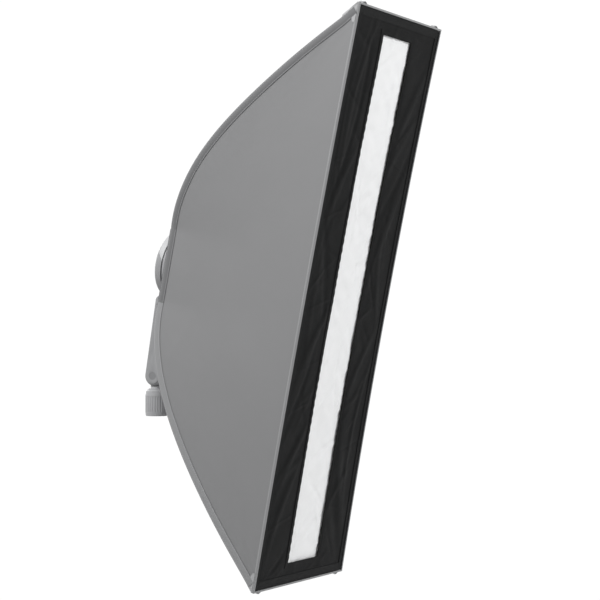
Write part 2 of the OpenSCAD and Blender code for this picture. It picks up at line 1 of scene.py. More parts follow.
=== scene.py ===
"""Looks of the strip softbox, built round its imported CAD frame.

Lengths are in millimetres of the box's own frame (x across, y back from the front, z along its length), until
place() turns them into metres of the row frame. A side is -1 or 1 for left or right, an end -1 or 1 for lower
or upper."""

import json
import math

import bmesh
import bpy
import numpy as np
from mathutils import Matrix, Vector

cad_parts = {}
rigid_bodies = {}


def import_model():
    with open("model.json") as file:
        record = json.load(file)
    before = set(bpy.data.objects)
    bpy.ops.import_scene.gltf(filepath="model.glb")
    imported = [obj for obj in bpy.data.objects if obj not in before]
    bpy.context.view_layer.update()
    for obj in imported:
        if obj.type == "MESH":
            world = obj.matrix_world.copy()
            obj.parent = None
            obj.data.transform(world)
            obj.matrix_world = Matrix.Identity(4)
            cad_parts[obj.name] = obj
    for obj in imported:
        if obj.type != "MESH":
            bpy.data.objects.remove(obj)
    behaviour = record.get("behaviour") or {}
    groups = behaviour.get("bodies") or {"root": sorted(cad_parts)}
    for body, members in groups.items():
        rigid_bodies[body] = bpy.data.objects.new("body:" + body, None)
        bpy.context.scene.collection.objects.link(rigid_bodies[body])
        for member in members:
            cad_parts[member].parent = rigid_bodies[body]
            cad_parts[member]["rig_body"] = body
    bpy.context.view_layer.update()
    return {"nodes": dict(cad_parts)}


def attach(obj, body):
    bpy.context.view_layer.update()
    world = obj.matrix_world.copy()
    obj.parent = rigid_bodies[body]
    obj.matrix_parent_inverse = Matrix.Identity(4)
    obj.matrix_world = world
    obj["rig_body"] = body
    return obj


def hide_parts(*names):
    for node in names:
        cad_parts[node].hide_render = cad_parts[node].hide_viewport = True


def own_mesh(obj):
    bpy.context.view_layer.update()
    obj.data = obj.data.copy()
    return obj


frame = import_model()

# ---------- the box's frame ----------

TILT = math.radians(11.5)
COS, SIN = math.cos(TILT), math.sin(TILT)
PIVOT_DEPTH, PIVOT_DROP = 325.0, 187.0  # the tilt's pivot, behind the front and below the box's axis
PIVOT_HEIGHT = 66.0  # the same pivot, above the row frame's origin


def place(points):
    """Points of the box's frame, in mm, as points of the row frame, in metres."""
    p = np.asarray(points, float)
    y, z = p[..., 1] - PIVOT_DEPTH, p[..., 2] + PIVOT_DROP
    return np.stack([p[..., 0], y * COS - z * SIN, PIVOT_HEIGHT + y * SIN + z * COS], -1) / 1000


def turn(v):
    """A direction of the box's frame in the row frame."""
    v = np.asarray(v, float)
    return np.stack([v[..., 0], v[..., 1] * COS - v[..., 2] * SIN, v[..., 1] * SIN + v[..., 2] * COS], -1)


# ---------- materials ----------


class Nodes:
    """Short hand for building one material's node tree."""

    def __init__(self, name, **values):
        self.material = bpy.data.materials.new(name)
        self.material.use_nodes = True
        self.tree = self.material.node_tree
        self.shader = self.tree.nodes["Principled BSDF"]
        for key, value in values.items():
            self.shader.inputs[key.replace("_", " ")].default_value = value

    def add(self, kind, inputs=(), **settings):
        node = self.tree.nodes.new("ShaderNode" + kind)
        for key, value in settings.items():
            setattr(node, key, value)
        for key, value in dict(inputs).items():
            if isinstance(value, bpy.types.NodeSocket):
                self.tree.links.new(value, node.inputs[key])
            else:
                node.inputs[key].default_value = value
        return node

    def maths(self, operation, a, b=0.0, c=0.0):
        return self.add("Math", {0: a, 1: b, 2: c}, operation=operation).outputs[0]

    def noise(self, where, scale, detail=3.0, roughness=0.5):
        inputs = {"Vector": where, "Scale": scale, "Detail": detail, "Roughness": roughness}
        return self.add("TexNoise", inputs).outputs["Fac"]

    def stretched(self, where, scale):
        """Coordinates scaled differently along each axis, for streaks and fibres."""
        return self.add("Mapping", {0: where, "Scale": scale}).outputs[0]

    def ramp(self, value, low, high, start=0.3, end=0.7):
        node = self.add("ValToRGB", {0: value})
        for stop, position, colour in zip(node.color_ramp.elements, (start, end), (low, high)):
            stop.position = position
            stop.color = (*colour, 1)
        return node.outputs[0]

    def tint(self, factor, amount, base, colour):
        """Mixes up to the given amount of a colour into base, by a factor from 0 to 1."""
        node = self.add("Mix", {0: self.maths("MULTIPLY", factor, amount)}, data_type="RGBA")
        for index, value in ((6, base), (7, colour)):
            if isinstance(value, bpy.types.NodeSocket):
                self.tree.links.new(value, node.inputs[index])
            else:
                node.inputs[index].default_value = (*value, 1)
        return node.outputs[2]

    def set(self, key, value):
        self.tree.links.new(value, self.shader.inputs[key])

    def bump(self, height, distance, strength=1.0, before=None):
        inputs = {"Height": height, "Distance": distance, "Strength": strength}
        if before is not None:
            inputs["Normal"] = before
        return self.add("Bump", inputs).outputs[0]


def shade(colour, factor):
    return tuple(min(1.0, c * factor) for c in colour)


def angle_per_metre(pitch):
    """How much a wave's angle grows along a metre of the UV map, for threads pitch mm apart."""
    return 2 * math.pi / (pitch / 1000)


def cloth_material(
    name, colour, pitch=0.55, roughness=0.8, sheen=0.12, relief=0.00012, stain=0.08, fuzz=0.5, shine=0.3
):
    """Woven cloth. The weave follows the piece's UV map."""
    nodes = Nodes(name, Sheen_Weight=sheen, Sheen_Roughness=0.4, Specular_IOR_Level=shine)
    uv = nodes.add("UVMap", uv_map="cloth").outputs[0]
    split = nodes.add("SeparateXYZ", {0: uv})
    warp, weft = (
        nodes.maths("SINE", nodes.maths("MULTIPLY", split.outputs[k], angle_per_metre(pitch))) for k in (0, 1)
    )
    weave = nodes.maths("MULTIPLY_ADD", nodes.maths("MULTIPLY", warp, weft), 0.5, 0.5)
    patches = nodes.noise(uv, 9.0, 5.0, 0.6)
    threads = nodes.noise(nodes.stretched(uv, (60, 1400, 1)), 1.0, 2.0)
    base = nodes.ramp(patches, shade(colour, 1 - stain), shade(colour, 1 + stain))
    base = nodes.tint(weave, 0.22, base, shade(colour, 0.55))
    nodes.set("Base Color", nodes.tint(threads, 0.12, base, shade(colour, 1.35)))
    nodes.set("Roughness", nodes.maths("MULTIPLY_ADD", patches, 0.16, roughness - 0.08))
    height = nodes.maths("ADD", weave, nodes.maths("MULTIPLY", threads, fuzz))
    soft = nodes.bump(nodes.noise(uv, 34.0, 4.0, 0.55), 0.0009, 0.35)
    nodes.set("Normal", nodes.bump(height, relief, 0.6, soft))
    return nodes.material


def webbing_material(name, colour, pitch=1.3):
    """Ribbed tape: ribs run across its width."""
    nodes = Nodes(name, Sheen_Weight=0.1, Specular_IOR_Level=0.35)
    uv = nodes.add("UVMap", uv_map="cloth").outputs[0]
    split = nodes.add("SeparateXYZ", {0: uv})
    ribs = nodes.maths("SINE", nodes.maths("MULTIPLY", split.outputs[1], angle_per_metre(pitch)))
    ribs = nodes.maths("MULTIPLY_ADD", ribs, 0.5, 0.5)
    fuzz = nodes.noise(uv, 900.0, 2.0)
    base = nodes.tint(ribs, 0.3, colour, shade(colour, 0.62))
    nodes.set("Base Color", nodes.tint(fuzz, 0.25, base, shade(colour, 1.3)))
    nodes.set("Roughness", nodes.maths("MULTIPLY_ADD", fuzz, 0.2, 0.68))
    nodes.set("Normal", nodes.bump(ribs, 0.00018, 0.7))
    return nodes.material


def plastic_material(name, colour, roughness=0.48):
    """Moulded plastic with a fine spark-eroded texture, and handling marks."""
    nodes = Nodes(name, Specular_IOR_Level=0.5)
    where = nodes.add("TexCoord").outputs["Object"]
    texture = nodes.noise(where, 1500.0, 3.0, 0.6)
    broad = nodes.noise(where, 26.0, 4.0, 0.6)
    marks = nodes.noise(nodes.stretched(where, (40, 40, 320)), 1.0, 5.0, 0.7)
    base = nodes.ramp(broad, shade(colour, 0.93), shade(colour, 1.07))
    nodes.set("Base Color", nodes.tint(marks, 0.1, base, shade(colour, 1.5)))
    nodes.set("Roughness", nodes.maths("ADD", nodes.maths("MULTIPLY", marks, 0.16), roughness - 0.08))
    nodes.set("Normal", nodes.bump(texture, 0.00004, 0.55))
    return nodes.material


def metal_material(name, colour, roughness=0.32):
    """Brushed or turned metal with faint stains."""
    nodes = Nodes(name, Metallic=1.0)
    where = nodes.add("TexCoord").outputs["Object"]
    brushed = nodes.noise(nodes.stretched(where, (20, 20, 900)), 1.0, 4.0, 0.6)
    spots = nodes.noise(where, 90.0, 4.0, 0.6)
    nodes.set("Base Color", nodes.ramp(spots, shade(colour, 0.82), colour))
    nodes.set("Roughness", nodes.maths("MULTIPLY_ADD", brushed, 0.25, roughness - 0.1))
    nodes.set("Normal", nodes.bump(brushed, 0.00003, 0.5))
    return nodes.material


def rod_material(name):
    """Pultruded glass fibre: gloss black with faint lengthwise fibres."""
    nodes = Nodes(name, Coat_Weight=0.4, Coat_Roughness=0.15)
    uv = nodes.add("UVMap", uv_map="cloth").outputs[0]
    fibres = nodes.noise(nodes.stretched(uv, (2600, 30, 1)), 1.0, 3.0)
    nodes.set("Base Color", nodes.ramp(fibres, (0.012, 0.012, 0.012), (0.05, 0.05, 0.048)))
    nodes.set("Roughness", nodes.maths("MULTIPLY_ADD", fibres, 0.2, 0.25))
    nodes.set("Normal", nodes.bump(fibres, 0.00003, 0.4))
    return nodes.material


look = {
    "panel": cloth_material("panel_nylon", (0.203, 0.204, 0.207), pitch=0.6, roughness=0.72, stain=0.025),
    # The two tape materials are one seam tape in two copies. The darker copy carries painted shade and is
    # used on the upper seams, the hub tape and the rear piping. The lighter copy carries painted light and is
    # used on the lower seams.
    "tape_painted_shade": webbing_material("tape_painted_shade", (0.135, 0.136, 0.139)),
    "tape_painted_light": webbing_material("tape_painted_light", (0.232, 0.234, 0.238)),
    "lip": webbing_material("lip_tape", (0.27, 0.272, 0.277), pitch=0.9),
    "pocket": cloth_material(
        "pocket_webbing", (0.35, 0.352, 0.357), pitch=0.9, roughness=0.75, relief=0.0002
    ),
    "mask": cloth_material(
        "mask_nylon", (0.0045, 0.0047, 0.0049),
        pitch=0.4, roughness=0.46, sheen=0.0, shine=0.07, relief=0.00006,
    ),
    "hem": cloth_material(
        "mask_hem", (0.0075, 0.0078, 0.008),
        pitch=0.5, roughness=0.5, sheen=0.0, shine=0.09, relief=0.0001,
    ),
    "strap": webbing_material("elastic_strap", (0.02, 0.02, 0.022), pitch=1.0),
    "white": cloth_material(
        "diffusion_cloth", (0.85, 0.855, 0.86), pitch=0.5, roughness=0.85, sheen=0.1, stain=0.015
    ),
    "thread_grey": cloth_material("thread_grey", (0.36, 0.36, 0.37), pitch=0.4, relief=0.00005),
    "thread_black": cloth_material(
        "thread_black", (0.014, 0.014, 0.015), pitch=0.4, relief=0.00005, sheen=0.0, shine=0.2
    ),
    "plastic_light": plastic_material("plastic_light", (0.43, 0.433, 0.44)),
    "plastic_dark": plastic_material("plastic_dark", (0.265, 0.267, 0.273)),
    "plastic_mid": plastic_material("plastic_mid", (0.32, 0.322, 0.33)),
    "plastic_black": plastic_material("plastic_black", (0.022, 0.022, 0.024), roughness=0.5),
    "coated": plastic_material("coated_steel", (0.2, 0.202, 0.206), roughness=0.4),
    "steel": metal_material("zinc_steel", (0.62, 0.62, 0.64)),
    "magnet": metal_material("nickel_magnet", (0.72, 0.71, 0.69), roughness=0.22),
    "brass": metal_material("brass_insert", (0.78, 0.6, 0.3)),
    "felt": cloth_material(
        "felt_ring", (0.03, 0.03, 0.032), pitch=1.1, roughness=0.95, sheen=0.4, relief=0.0002, fuzz=1.5
    ),
    "rod": rod_material("glass_fibre"),
}

# ---------- shapes of the fabric ----------

HALF_W, HALF_L = 150.0, 450.0  # the front
LIP = 3.0  # the side panels start this far behind the front
BOW_X, BOW_Y = 3.6, 5.3  # how far the middle of a long front edge gives way, inwards and backwards
SLIT_W, SLIT_L = 50.0, 414.0  # half the slit
MASK_W, MASK_L = 147.6, 446.6  # half the mask
ROOT, TIP = np.array([54.0, 313.0, 61.0]), np.array([150.0, 3.0, 450.0])  # the ends of a corner seam
MIDDLE = np.array([92.25, 304.0, 216.0])  # the middle control point of its curve
HINGE = np.array([35.0, 297.2, 38.0])  # the middle of a rod's hinge pin


def unit(v):
    """Vectors made 1 long."""
    return v / np.maximum(np.linalg.norm(v, axis=-1, keepdims=True), 1e-9)


def running(points, axis=0):
    """The distance from the first point of a line of points to each of them."""
    return np.insert(np.cumsum(np.linalg.norm(np.diff(points, axis=axis), axis=-1), axis), 0, 0, axis)


def bezier(t, a, b, c):
    t = np.asarray(t, float)[..., None]
    return (1 - t) ** 2 * a + 2 * t * (1 - t) * b + t**2 * c


def smooth(t, start, end):
    """An S-shaped step from 0 to 1 between start and end."""
    s = np.clip((np.asarray(t, float) - start) / (end - start), 0, 1)
    return s * s * (3 - 2 * s)


def bell(v, centre, width):
    return np.exp(-(((v - centre) / width) ** 2))


def pulled(points, t, end):
    """Draws a curve in a little near the front corner, where the cloth's tension flattens the rod's bow."""
    depth = (4.4 if end > 0 else 1.2) * smooth(t, 0.3, 0.75) * (1 - 0.8 * smooth(t, 0.94, 1.0))
    return points - np.stack([0 * depth, 0.69 * depth, 0.72 * depth], -1)


def seam(t, end):
    """The edge where a side panel meets the top or bottom panel, from the rear to the front corner."""
    return pulled(bezier(t, ROOT, MIDDLE, TIP), t, end)


EDGES = {end: seam(np.linspace(0, 1, 600), end) for end in (1, -1)}


def seam_at(z):
    """x and y of a side panel's rear edge at height z."""
    height = np.clip(np.abs(z), ROOT[2], TIP[2])
    upper, lower = (
        [np.interp(height, EDGES[end][:, 2], EDGES[end][:, k]) for k in (0, 1)] for end in (1, -1)
    )
    return tuple(np.where(z > 0, *pair) for pair in zip(upper, lower))


def bowed(z):
    """How far the long front edges give way at height z, as a share."""
    return 1 - np.clip(np.abs(z) / HALF_L, 0, 1) ** 2


def front_x(z):
    return HALF_W - BOW_X * bowed(z)


def front_y(z):
    return BOW_Y * bowed(z)


def ripples(a, b, seed, count, short, long, amount):
    """Gentle unevenness of stretched cloth: a sum of waves in seeded directions."""
    rng = np.random.default_rng(seed)
    total = np.zeros(np.broadcast(a, b).shape)
    for _ in range(count):
        way, phase = rng.uniform(0, math.pi), rng.uniform(0, 2 * math.pi)
        length = rng.uniform(short, long)
        total += np.sin(2 * math.pi * (a * math.cos(way) + b * math.sin(way)) / length + phase)
    return amount * total / math.sqrt(count)


def creases(a, b, rows):
    """Soft curled ridges. Each row is centre a, centre b, angle in degrees, length, width, height."""
    total = np.zeros(np.broadcast(a, b).shape)
    for ca, cb, angle, length, width, height in rows:
        co, si = math.cos(math.radians(angle)), math.sin(math.radians(angle))
        along, across = (a - ca) * co + (b - cb) * si, -(a - ca) * si + (b - cb) * co
        across = across + 0.0012 * along**2 * (1 if height > 0 else -1)
        total += height * bell(along, 0, length) * bell(across, 0, width)
    return total


def scattered(seed, count, a_range, b_range, angles, lengths, widths, heights):
    """Seeded rows for creases()."""
    rng = np.random.default_rng(seed)
    spans = (a_range, b_range, angles, lengths, widths, heights)
    return [[rng.uniform(*span) for span in spans] for _ in range(count)]


CORNER_PULLS = [
    [30, -432, 62, 60, 5, -0.9], [52, -418, 50, 70, 6, 0.8], [70, -396, 40, 60, 7, -0.7],
    [38, -380, 75, 50, 6, 0.5], [100, -360, 48, 80, 9, 0.6], [28, 425, -64, 60, 6, -0.6],
    [50, 405, -52, 70, 8, 0.5], [262, -150, 118, 90, 10, 0.5], [270, 150, -118, 90, 10, 0.4],
]
SPREAD = [(k / 8, (1 - abs(k) / 9) / 9) for k in range(-8, 9)]  # places and weights of a smoothing average


def side_surface(side):
    """The outside of a side panel over (y, z)."""

    def surface(y, z):
        rear_y = seam_at(z)[1]
        start = LIP + front_y(z)
        span = np.maximum(rear_y - start, 1e-6)
        share = np.clip((y - start) / span, -0.05, 1.05)
        # the cloth hangs hollow between its edges, and evens out the rear edge's bends towards the front
        hollow = np.sin(math.pi * np.clip(share, 0, 1)) ** 1.2 * np.clip(span / 300, 0, 1)
        reach = 62 * np.clip(1 - share, 0, 1) ** 0.75
        rear_x = sum(weight * seam_at(z + k * reach)[0] for k, weight in SPREAD)
        x = front_x(z) + (rear_x - front_x(z)) * share - 4.5 * hollow
        x = x + hollow * ripples(y, z, 11, 9, 120, 340, 0.35)
        x = x + np.clip(hollow * 4, 0, 1) * creases(y, z, CORNER_PULLS)
        return np.stack([side * x, y, z], -1)

    return surface


def end_surface(end):
    """The outside of the top or bottom panel over (share of its half width, t along the seam)."""

    def surface(across, t):
        p = seam(np.clip(t, 0, 1), end)
        q = seam(np.clip(t + 0.01, 0, 1.02), end) - seam(np.clip(t - 0.01, -0.02, 1), end)
        inward = unit(np.stack([np.zeros_like(q[..., 0]), -q[..., 2], q[..., 1]], -1))
        belly = (1 - across**2) * np.sin(math.pi * np.clip(t, 0, 1)) ** 0.7
        sink = 7.0 * belly + belly * ripples(across * 90, t * 480, 31, 8, 90, 260, 0.5)
        points = np.stack([across * p[..., 0], p[..., 1], p[..., 2]], -1) + inward * sink[..., None]
        return points * np.array([1, 1, end])

    return surface


# the mask's folds: small scattered ones, larger tucks at places of their own, and lines left from packing
FOLDS = (
    scattered(5, 34, (-140, 140), (-430, 430), (20, 62), (22, 60), (3.5, 8), (0.3, 1.15))
    + scattered(6, 26, (-140, 140), (-430, 430), (-64, -20), (20, 54), (3.5, 8), (-0.9, -0.25))
    + scattered(7, 16, (-128, 128), (-400, 400), (70, 110), (40, 110), (4, 9), (0.3, 0.9))
)
TUCKS = [
    [-104, 352, 78, 120, 7, 1.9], [-84, 300, 84, 130, 6, -1.3], [-128, 300, 86, 140, 7, 1.2],
    [-96, 190, 64, 80, 8, 1.5], [-100, 60, 112, 90, 8, -1.4], [-92, -60, 58, 70, 8, 1.6],
    [-110, -150, 66, 80, 7, -1.3], [-90, -230, 56, 74, 8, 1.7], [-108, -330, 68, 90, 8, 1.6],
    [-118, -432, 20, 44, 5, 1.6], [-98, -420, 38, 40, 5, -1.4], [-72, -424, 30, 40, 5, 1.2],
    [104, 330, 60, 90, 10, 2.0], [84, 250, 52, 80, 9, 1.6], [112, 210, 60, 90, 9, -1.5],
    [92, 120, 66, 80, 8, 1.5], [100, 20, 108, 90, 8, 1.2], [92, -90, 58, 70, 8, 1.5],
    [104, -200, 84, 130, 6, 1.6], [88, -300, 112, 70, 9, 1.8], [100, -372, 118, 60, 9, -1.6],
    [64, -428, -34, 40, 6, 1.4], [20, -432, 20, 50, 4, 0.9], [-20, 432, 4, 90, 3.5, 1.0],
    [60, 428, -12, 60, 4, -0.9],
]
PACKING_LINES = [
    (-330, 0.8), (-246, -0.9), (-150, 0.7), (-92, 0.7), (10, 0.8),
    (64, -0.7), (150, 0.9), (232, 0.8), (318, -0.7),
]
PACKING = [[0, z, 1.5 * (-1) ** i, 190, 2.6, height] for i, (z, height) in enumerate(PACKING_LINES)]


def rounded_corner(x, z, radius=9.0):
    """Draws the mask's corners in to arcs."""
    u = np.clip((np.abs(x) - MASK_W + radius) / radius, 0, 1)
    v = np.clip((np.abs(z) - MASK_L - 0.2 + radius) / radius, 0, 1)
    both = (u > 0) & (v > 0)
    arc_x = MASK_W - radius + radius * u * np.sqrt(1 - v * v / 2)
    arc_z = MASK_L + 0.2 - radius + radius * v * np.sqrt(1 - u * u / 2)
    return np.where(both, np.sign(x) * arc_x, x), np.where(both, np.sign(z) * arc_z, z)


def mask_surface(x, z):
    """The middle of the mask's cloth over (x, z), folded except near its edges and the slit's long hems."""
    x, z = rounded_corner(x, z)
    edge = np.clip(1 - (np.abs(x) / 146) ** 8, 0, 1) * np.clip(1 - (np.abs(z) / 446) ** 16, 0, 1)
    lift = creases(x, z, FOLDS) + 0.8 * creases(x, z, PACKING) + creases(x, z, TUCKS)
    lift += ripples(x, z, 3, 10, 50, 150, 0.55)
    calm = 1 - 0.7 * bell(np.abs(x), SLIT_W, 13) * (np.abs(z) < 430)
    y = 2.3 + front_y(z) - edge * calm * (0.6 + 1.6 * np.tanh(lift / 2.0))
    return np.stack([x * (1 - BOW_X / HALF_W * bowed(z)), y, z], -1)


def scalloped_mask(x, z):
    """The mask with the slit's edges drawn slightly in and out between the stitches of their hems."""
    wave = 0.55 * np.sin(2 * math.pi * z / 13.5 + np.sign(x)) * (1 + 0.5 * np.sin(z / 37.0))
    wave += 0.7 * np.sin(z / 58.0 + x / 30)
    near = bell(np.abs(x), SLIT_W, 5) * (np.abs(z) < SLIT_L)
    return mask_surface(x + np.sign(x) * near * wave, z)


WRINKLES = scattered(22, 60, (-60, 60), (-420, 420), (20, 150), (16, 60), (2.5, 6), (-1.3, 1.3))


def diffuser_surface(x, z):
    lift = ripples(x, z, 21, 16, 18, 60, 0.7) + 1.5 * creases(x, z, WRINKLES)
    return np.stack([x, 4.8 + front_y(z) + np.tanh(lift / 1.6) * 1.3, z], -1)


def baffle_surface(x, z):
    sag = 1.6 * (x / 85) ** 2 * (z / 220) ** 2
    return np.stack([x, 150.5 + sag + ripples(x, z, 41, 8, 50, 160, 0.5), z], -1)


# ---------- making pieces ----------


def finish_piece(name, points, faces, uv, material, body, normals=None):
    """A mesh from points in the box's frame, faces and one UV per point, riding on a CAD body."""
    mesh = bpy.data.meshes.new(name)
    mesh.from_pydata(place(points).tolist(), [], faces)
    layer = mesh.uv_layers.new(name="cloth")
    corners = np.zeros(len(mesh.loops), int)
    mesh.loops.foreach_get("vertex_index", corners)
    layer.data.foreach_set("uv", np.asarray(uv, np.float32)[corners].ravel())
    mesh.polygons.foreach_set("use_smooth", [True] * len(mesh.polygons))
    mesh.validate()
    mesh.materials.append(material)
    if normals is None:
        mesh.set_sharp_from_angle(angle=math.radians(50))
    else:
        mesh.normals_split_custom_set_from_vertices(turn(normals).tolist())
    piece = bpy.data.objects.new(name, mesh)
    bpy.context.scene.collection.objects.link(piece)
    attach(piece, body)
    return piece


def skins(keep):
    """Quads of a closed cloth over the kept cells of a grid: two skins, and a wall along every free edge."""
    rows, columns = keep.shape
    number = np.arange((rows + 1) * (columns + 1)).reshape(rows + 1, columns + 1)
    below = number.size
    padded = np.pad(keep, 1)
    faces = []
    for i, j in np.argwhere(keep):
        ring = [number[i, j], number[i, j + 1], number[i + 1, j + 1], number[i + 1, j]]
        beyond = (padded[i, j + 1], padded[i + 1, j + 2], padded[i + 2, j + 1], padded[i + 1, j])
        faces += [ring, [below + k for k in ring[::-1]]]
        for p, q, joined in zip(ring, ring[1:] + ring[:1], beyond):
            if not joined:
                faces.append([q, p, below + p, below + q])
    return np.array(faces)


def cloth(name, surface, a, b, material, body, thick=0.8, keep=None, lift=0.0):
    """A thin closed cloth over a grid of a (columns) and b (rows) on a surface, in the cells to keep."""
    if np.ndim(a) == 1:
        a, b = np.meshgrid(a, b)
    if keep is None:
        keep = np.ones((a.shape[0] - 1, a.shape[1] - 1), bool)
    points = surface(a, b)

    # the normal comes from the surface itself, by small steps in shares or in mm
    da, db = (0.002 if np.max(np.abs(v)) <= 1.2 else 0.6 for v in (a, b))
    along_a, along_b = surface(a + da, b) - surface(a - da, b), surface(a, b + db) - surface(a, b - db)
    normal = unit(np.cross(along_a, along_b))
    normal *= np.sign((normal * (points - np.array([0, 150, 0]))).sum())
    winding = np.cross(points[:-1, 1:] - points[:-1, :-1], points[1:, :-1] - points[:-1, :-1])
    faces = skins(keep)
    if (winding * normal[:-1, :-1]).sum() < 0:
        faces = faces[:, ::-1]

    used, numbers = np.unique(faces, return_inverse=True)
    both = np.concatenate([points + normal * (lift + thick / 2), points + normal * (lift - thick / 2)])
    normals = np.concatenate([normal, -normal])
    uv = np.tile(np.stack([running(points, 1), running(points, 0)], -1) / 1000, (2, 1, 1))
    both, normals, uv = (v.reshape(-1, v.shape[-1])[used] for v in (both, normals, uv))
    piece = finish_piece(name, both, numbers.reshape(-1, 4).tolist(), uv, material, body, normals)
    diagonals = points[1:, 1:] - points[:-1, :-1], points[1:, :-1] - points[:-1, 1:]
    piece["flat_area"] = float(0.5 * np.linalg.norm(np.cross(*diagonals), axis=-1)[keep].sum()) / 1e6
    return piece


def tube_faces(around, stations, closed=False):
    """Faces of a tube with so many points around at so many stations, capped unless it closes on itself."""
    faces = []
    for i in range(stations if closed else stations - 1):
        here, there = i * around, (i + 1) % stations * around
        for j in range(around):
            k = (j + 1) % around
            faces.append([here + j, here + k, there + k, there + j])
    if not closed:
        faces += [list(range(around))[::-1], [(stations - 1) * around + j for j in range(around)]]
    return faces


def tube_uv(profile, along):
    return np.stack(np.meshgrid(running(profile), along), -1).reshape(-1, 2) / 1000


def sweep(name, path, profile, material, body, up, closed=False):
    """Sweeps a closed profile of (sideways, upwards) points along a path of points."""
    path, profile = np.asarray(path, float), np.asarray(profile, float)
    ahead = unit(np.roll(path, -1, 0) - np.roll(path, 1, 0) if closed else np.gradient(path, axis=0))
    side = unit(np.cross(ahead, up))
    high = np.cross(side, ahead)
    points = path[:, None] + side[:, None] * profile[:, :1] + high[:, None] * profile[:, 1:]
    faces = tube_faces(len(profile), len(path), closed)
    return finish_piece(name, points.reshape(-1, 3), faces, tube_uv(profile, running(path)), material, body)


def round_profile(radius, count):
    angles = np.arange(count) * 2 * math.pi / count
    return radius * np.stack([np.cos(angles), np.sin(angles)], -1)


def flat_profile(half_width, half_thickness=0.4):
    w, h = half_width, half_thickness
    return [(-w, -h), (w, -h), (w, h), (-w, h)]


STITCH, STITCH_PITCH = 3.0, 4.2


def stitches(name, path, normal, material, body, thick=0.32):
    """A row of thread stitches along a path on a surface that faces normal."""
    far = running(path)
    starts = np.arange(1.5, far[-1] - STITCH - 1, STITCH_PITCH)
    p, q = (
        np.stack([np.interp(s, far, path[:, k]) for k in range(3)], -1) for s in (starts, starts + STITCH)
    )
    share, size = np.array([(0.0, 0.35), (0.18, 1.0), (0.82, 1.0), (1.0, 0.35)]).T
    sideways, upwards = thick * np.array([(1, -0.4), (1, 0.5), (-1, 0.5), (-1, -0.4)]).T
    centre = p[:, None] + (q - p)[:, None] * share[:, None]
    side = np.cross(unit(q - p), normal)
    offset = side[:, None] * sideways[:, None] + np.array(normal) * upwards[:, None]
    points = (centre[:, :, None] + size[:, None, None] * offset[:, None]).reshape(-1, 3)
    faces = [[16 * s + k for k in face] for s in range(len(starts)) for face in tube_faces(4, 4)]
    return finish_piece(name, points, faces, points[:, (0, 2)] / 1000, material, body)


def merge(name, parts):
    """Joins pieces on one body into one object."""
    first = parts[0]
    chosen = {"active_object": first, "selected_objects": parts, "selected_editable_objects": parts}
    with bpy.context.temp_override(**chosen):
        bpy.ops.object.join()
    first.name = first.data.name = name
    return first


# ---------- the fabric box ----------

ENDS = {1: ("upper", "upper_rods"), -1: ("lower", "lower_rods")}
SIDES = {-1: "left", 1: "right"}
GUSSET_Y = 250.0  # the foremost point of the gusset that stays at the ring when the rods fold
LINE_END = 429.0  # height at which the line of the gathers reaches the front edge

SHARES = np.linspace(0, 1, 41)
RING_ROWS = np.linspace(0, ROOT[2], 13)
INNER_ROWS = np.concatenate([RING_ROWS, np.linspace(ROOT[2], LINE_END, 60)[1:]])
OUTER_ROWS = np.concatenate([INNER_ROWS[12:], np.linspace(LINE_END, 449.6, 6)[1:]])
TAPE = np.array([0.0, 3.0, 6.0, 9.0, 12.0])  # distances from the seam across its tape
TAPE_ROWS = (1.2, 10.8)  # distances from the seam of the tape's two rows of stitches


def line_y(z):
    """The straight line from the ring to near the front corner, along which a side panel's gathers meet."""
    start = LIP + front_y(LINE_END)
    return ROOT[1] + (start - ROOT[1]) * np.clip((np.abs(z) - ROOT[2]) / (LINE_END - ROOT[2]), 0, 1)


def gusset_y(z):
    """The edge of the part of a side panel that stays at the ring when the rods fold."""
    return GUSSET_Y + (ROOT[1] - GUSSET_Y) * np.clip(np.abs(z) / ROOT[2], 0, 1)


def squash_to_chord(piece):
    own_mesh(piece)


def squash_to_tip(piece):
    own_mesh(piece)


def between(low, high):
    """A grid from one edge to another, each given at every row."""
    return low * (1 - SHARES) + high * SHARES


def side_gusset(side):
    z = np.concatenate([-RING_ROWS[:0:-1], RING_ROWS])[:, None] + 0 * SHARES
    y = between(gusset_y(z), ROOT[1])
    gusset = cloth(f"side_gusset_{SIDES[side]}", side_surface(side), y, z, look["panel"], "speed_ring")
    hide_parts(f"side_panel_{SIDES[side]}")


def side_cloths(side, end):
    """Half a side panel in two cloths on the rod: a front one as far as the line of the gathers, and a rear
    one from there to the seam.
    """
    side_name, (end_name, body) = SIDES[side], ENDS[end]
    z = end * INNER_ROWS[:, None] + 0 * SHARES
    y = between(LIP + front_y(z), np.minimum(line_y(z), gusset_y(z)))
    front = cloth(f"side_gather_{side_name}_{end_name}", side_surface(side), y, z, look["panel"], body)
    z = end * OUTER_ROWS[:, None] + 0 * SHARES
    y = between(np.where(np.abs(z) <= LINE_END, line_y(z), LIP + front_y(z)), seam_at(z)[1])
    rear = cloth(f"side_panel_{side_name}_{end_name}", side_surface(side), y, z, look["panel"], body)
    squash_to_chord(front)
    for piece, flat in ((front, (0.31, 0.44)), (rear, (0.1, 0.56))):
        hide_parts(f"side_panel_{side_name}")


def raised(points, side, across):
    """Lifts a seam tape off the side panel, most along its middle, over what is folded under it."""
    return points + side * (0.55 + 1.5 * bell(across, 6, 4.5))[..., None] * np.array([1, 0, 0])


def tape_stitching(name, surface, along, side, body):
    """Two rows of stitches along a seam tape."""
    rows = []
    for k, offset in enumerate(TAPE_ROWS):
        row = surface(np.full(len(along), offset), along) + np.array([side * 0.42, 0, 0])
        rows.append(stitches(f"{name}_{k}", row, [side, 0, 0], look["thread_grey"], body))
    merge(name, rows)


